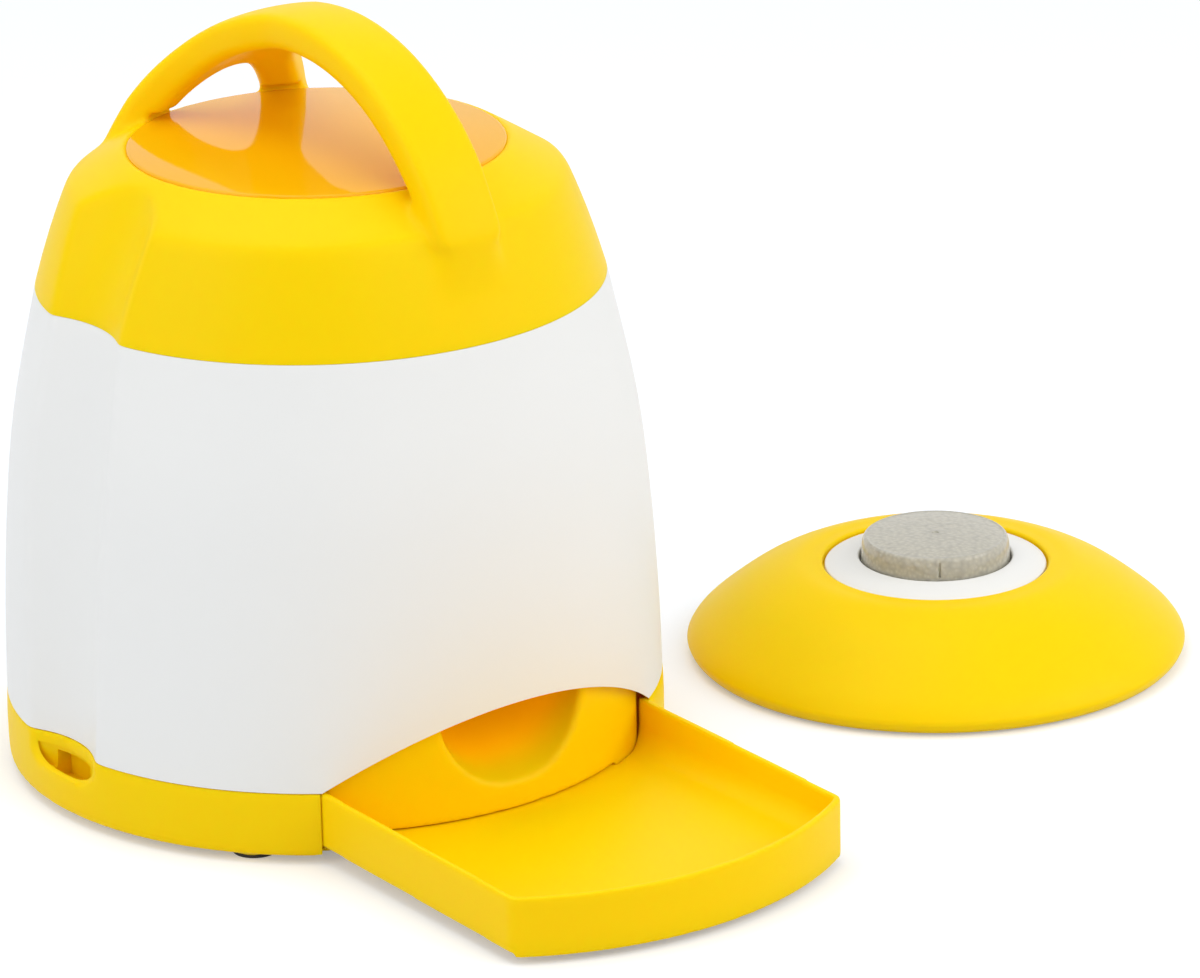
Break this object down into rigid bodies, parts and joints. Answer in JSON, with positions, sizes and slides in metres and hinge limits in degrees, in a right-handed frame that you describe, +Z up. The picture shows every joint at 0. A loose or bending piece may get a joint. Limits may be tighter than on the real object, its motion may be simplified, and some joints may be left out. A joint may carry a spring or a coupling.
{
  "type": "push button treat dispenser",
  "caption": "Push button treat dispenser for pets: round case with a wishbone lid handle, clear window, pull-out tray and a separate domed remote.",
  "frame": {"origin": "on the floor, under the middle of the round dispenser", "axes": "+Z up, -Y from the dispenser towards its tray, +X towards the remote that lies beside it"},
  "size_m": [0.466, 0.3685, 0.2916],
  "materials": {
    "yellow_plastic": "satin moulded",
    "white_plastic": "satin moulded",
    "clear_window": "polished clear plastic",
    "translucent_cap": "frosted translucent",
    "soft_rubber": "matte",
    "dark_rubber": "matte",
    "dark_plastic": "fine grain",
    "brass": "turned",
    "steel": "zinc plated",
    "cell_jacket": "plain jacket",
    "circuit_board": "solder resist",
    "lamp_lens": "diffused lens"
  },
  "bodies": {
    "dispenser": {"base_pan": "yellow_plastic", "rubber_feet": "dark_rubber", "case_screws": "steel", "outlet_panel": "yellow_plastic", "chute": "yellow_plastic", "chute_screws": "steel", "body_shell": "white_plastic", "hopper": "yellow_plastic", "drop_shield": "yellow_plastic", "dosing_floor": "yellow_plastic", "hopper_screws": "steel", "shaft_bush": "brass", "motor_bracket": "dark_plastic", "gearbox": "dark_plastic", "drive_motor": "steel", "motor_screws": "steel", "bracket_screws": "steel", "battery_box": "dark_plastic", "box_screws": "steel", "c_cells": "cell_jacket", "battery_contacts": "steel", "main_circuit_board": "circuit_board", "board_chips": "dark_plastic", "board_screws": "steel", "radio_module": "circuit_board", "speaker": "dark_plastic", "power_switch": "dark_plastic"},
    "lid": {"lid_shell": "yellow_plastic", "lid_window": "clear_window", "lid_seal": "soft_rubber"},
    "tray": {"tray": "yellow_plastic"},
    "rotor": {"paddle_rotor": "white_plastic", "rotor_shaft": "steel", "drive_gear": "white_plastic", "shaft_clip": "steel"},
    "pinion": {"motor_pinion": "white_plastic", "output_shaft": "steel"},
    "switch_knob": {"switch_slider": "dark_plastic"},
    "battery_lid": {"battery_door": "yellow_plastic", "door_screw": "steel"},
    "remote": {"remote_case": "yellow_plastic", "remote_ring": "white_plastic", "remote_base": "yellow_plastic", "remote_screws": "steel", "remote_feet": "dark_rubber", "remote_board": "circuit_board", "remote_board_screws": "steel", "tact_switch": "dark_plastic", "remote_lamps": "lamp_lens", "remote_cell_holder": "dark_plastic", "remote_cells": "cell_jacket", "remote_contacts": "steel", "cap_spring": "steel"},
    "button": {"push_cap": "translucent_cap"},
    "remote_battery_lid": {"remote_battery_door": "yellow_plastic", "remote_door_screw": "steel"}
  },
  "joints": [
    {"name": "lid_lift", "type": "slide", "parent": "dispenser", "child": "lid", "axis": [0, 0, 1], "range_m": [0, 0.09]},
    {"name": "tray_slide", "type": "slide", "parent": "dispenser", "child": "tray", "axis": [0, -1, 0], "range_m": [0, 0.14]},
    {"name": "rotor_spin", "type": "hinge", "parent": "dispenser", "child": "rotor", "pos_m": [0, 0, 0.07], "axis": [0, 0, 1], "continuous": true},
    {"name": "pinion_spin", "type": "hinge", "parent": "dispenser", "child": "pinion", "pos_m": [-0.026, 0, 0.07], "axis": [0, 0, 1], "continuous": true},
    {"name": "switch_slide", "type": "slide", "parent": "dispenser", "child": "switch_knob", "axis": [0, 1, 0], "range_m": [0, 0.004]},
    {"name": "battery_door_drop", "type": "slide", "parent": "dispenser", "child": "battery_lid", "axis": [0, 0, -1], "range_m": [0, 0.03]},
    {"name": "remote_lift", "type": "slide", "parent": "dispenser", "child": "remote", "axis": [0, 0, 1], "range_m": [0, 0.15]},
    {"name": "button_press", "type": "slide", "parent": "remote", "child": "button", "axis": [0, 0, -1], "range_m": [0, 0.003], "stiffness_N_per_m": 900, "springref_m": -0.001, "deforming": ["cap_spring"]},
    {"name": "remote_door_drop", "type": "slide", "parent": "remote", "child": "remote_battery_lid", "axis": [0, 0, -1], "range_m": [0, 0.02]}
  ],
  "couplings": [
    {"joint": "pinion_spin", "follows": "rotor_spin", "ratio": -3.3333}
  ]
}
